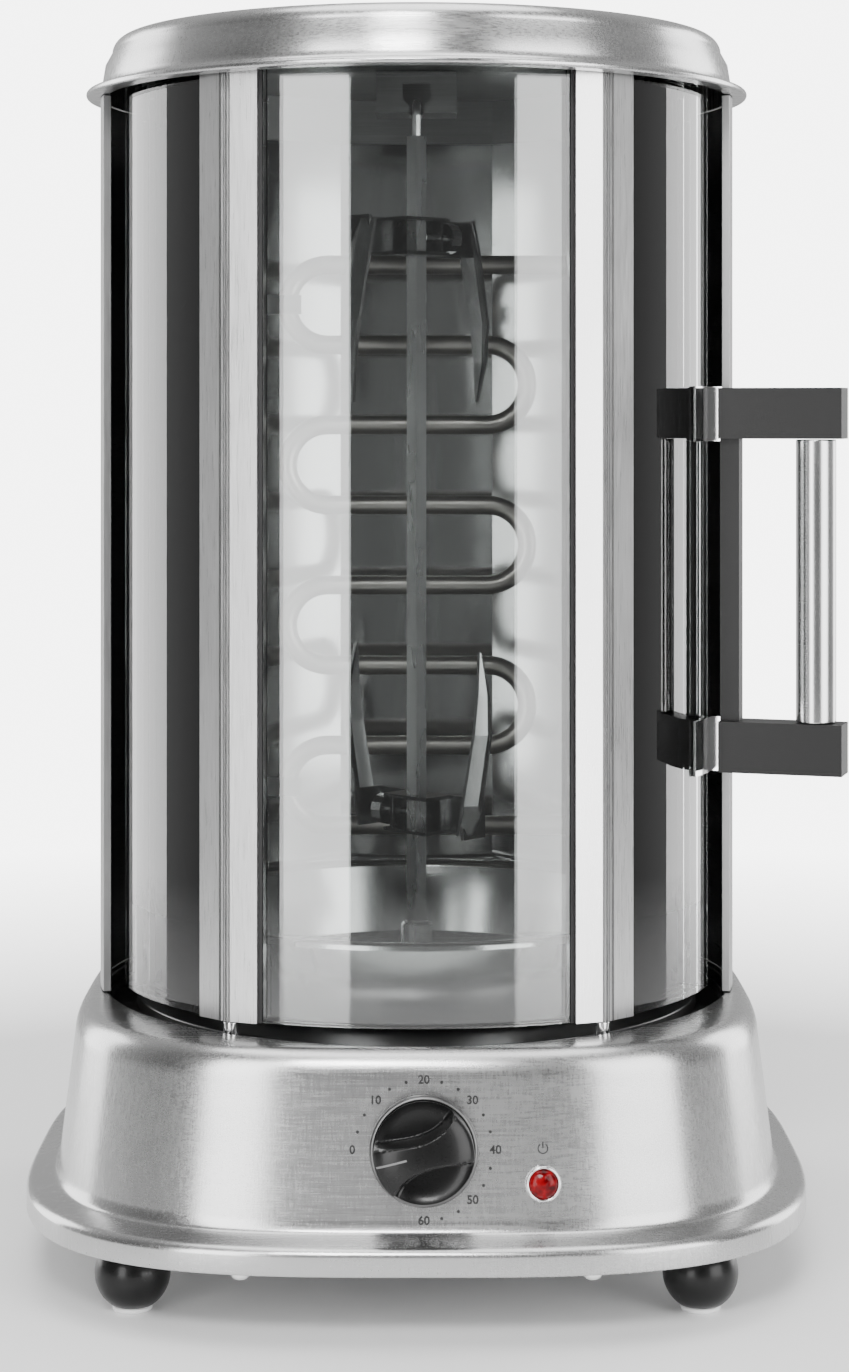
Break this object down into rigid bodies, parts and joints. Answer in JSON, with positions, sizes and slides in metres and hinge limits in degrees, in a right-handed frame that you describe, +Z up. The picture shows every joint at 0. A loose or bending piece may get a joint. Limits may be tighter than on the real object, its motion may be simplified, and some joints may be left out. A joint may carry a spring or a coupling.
{
  "type": "rotisserie oven",
  "caption": "Upright countertop rotisserie oven with a turning curved glass door, a vertical spit, a rear heating element and a base with timer and pilot lamp.",
  "frame": {"origin": "on the table, under the middle of the oven's bounding box, handle and knob included", "axes": "+Z up, the control panel faces -Y, the door's handle is on the +X side; the spit's axis is at x -7.7 mm, y 3.6 mm"},
  "size_m": [0.3154, 0.3052, 0.4746],
  "materials": {
    "brushed_steel": "brushed",
    "polished_steel": "polished",
    "dark_steel": "satin",
    "element_steel": "heat-darkened satin",
    "zinc_steel": "zinc plated",
    "chrome": "mirror",
    "aluminium": "satin anodised",
    "clear_glass": "clear tempered",
    "black_plastic": "fine-grained matte",
    "gloss_black": "glossy",
    "black_rubber": "matte",
    "white_rubber": "matte",
    "red_lens": "glossy, translucent red",
    "white_plastic": "matte",
    "ceramic": "matte"
  },
  "bodies": {
    "housing": {"base_shell": "brushed_steel", "bottom_plate": "zinc_steel", "foot_front_left": "black_plastic", "foot_pad_front_left": "white_rubber", "foot_front_right": "black_plastic", "foot_pad_front_right": "white_rubber", "foot_rear_left": "black_plastic", "foot_pad_rear_left": "white_rubber", "foot_rear_right": "black_plastic", "foot_pad_rear_right": "white_rubber", "floor_pan": "dark_steel", "motor_bracket": "zinc_steel", "gear_motor": "zinc_steel", "timer_body": "white_plastic", "pilot_bezel": "chrome", "pilot_lens": "red_lens", "cord_gland": "black_rubber", "terminal_block": "white_plastic", "thermal_cutout": "black_plastic", "rear_shell": "brushed_steel", "side_trim_left": "aluminium", "side_trim_right": "aluminium", "liner": "polished_steel", "liner_screw_1": "chrome", "liner_screw_2": "chrome", "liner_screw_3": "chrome", "liner_screw_4": "chrome", "ceiling_plate": "dark_steel", "lid": "brushed_steel", "spit_bracket": "zinc_steel", "heating_element": "element_steel", "element_terminal_lower": "ceramic", "element_terminal_upper": "ceramic", "element_clip_lower": "polished_steel", "element_clip_upper": "polished_steel"},
    "door": {"left_glass": "clear_glass", "right_glass": "clear_glass", "front_glass": "clear_glass", "post_left": "aluminium", "post_right": "aluminium", "post_seal_left": "black_rubber", "post_seal_right": "black_rubber", "door_pin_bottom_left": "chrome", "door_pin_top_left": "chrome", "door_pin_bottom_right": "chrome", "door_pin_top_right": "chrome", "handle_bracket": "black_plastic", "handle_tube": "brushed_steel", "handle_clip_lower": "chrome", "handle_clip_upper": "chrome"},
    "hub": {"drive_hub": "polished_steel"},
    "spit": {"spit_rod": "polished_steel"},
    "upper_fork": {"fork_upper": "polished_steel"},
    "upper_screw": {"thumbscrew_upper": "chrome"},
    "lower_fork": {"fork_lower": "polished_steel"},
    "lower_screw": {"thumbscrew_lower": "chrome"},
    "timer": {"timer_knob": "gloss_black", "timer_shaft": "zinc_steel"},
    "tray": {"drip_tray": "polished_steel"}
  },
  "joints": [
    {"name": "door_turn", "type": "hinge", "parent": "housing", "child": "door", "pos_m": [-0.00766, 0.00356, 0.1], "axis": [0, 0, -1], "range_deg": [0, 138]},
    {"name": "hub_spin", "type": "hinge", "parent": "housing", "child": "hub", "pos_m": [-0.00766, 0.00356, 0.1], "axis": [0, 0, 1], "continuous": true},
    {"name": "spit_lift", "type": "slide", "parent": "hub", "child": "spit", "axis": [0, 0, 1], "range_m": [0, 0.007]},
    {"name": "upper_fork_slide", "type": "slide", "parent": "spit", "child": "upper_fork", "axis": [0, 0, 1], "range_m": [-0.04, 0.025]},
    {"name": "lower_fork_slide", "type": "slide", "parent": "spit", "child": "lower_fork", "axis": [0, 0, 1], "range_m": [-0.02, 0.04]},
    {"name": "upper_screw_turn", "type": "hinge", "parent": "upper_fork", "child": "upper_screw", "pos_m": [-0.00766, 0.00356, 0.3955], "axis": [0.7071, 0.7071, 0], "continuous": true},
    {"name": "lower_screw_turn", "type": "hinge", "parent": "lower_fork", "child": "lower_screw", "pos_m": [-0.00766, 0.00356, 0.1655], "axis": [-0.7071, 0.7071, 0], "continuous": true},
    {"name": "timer_turn", "type": "hinge", "parent": "housing", "child": "timer", "pos_m": [-0.00506, -0.13132, 0.066], "axis": [-0.0002, 0.9923, -0.124], "range_deg": [0, 280]},
    {"name": "tray_lift", "type": "slide", "parent": "housing", "child": "tray", "axis": [0, 0, 1], "range_m": [0, 0.012]}
  ]
}
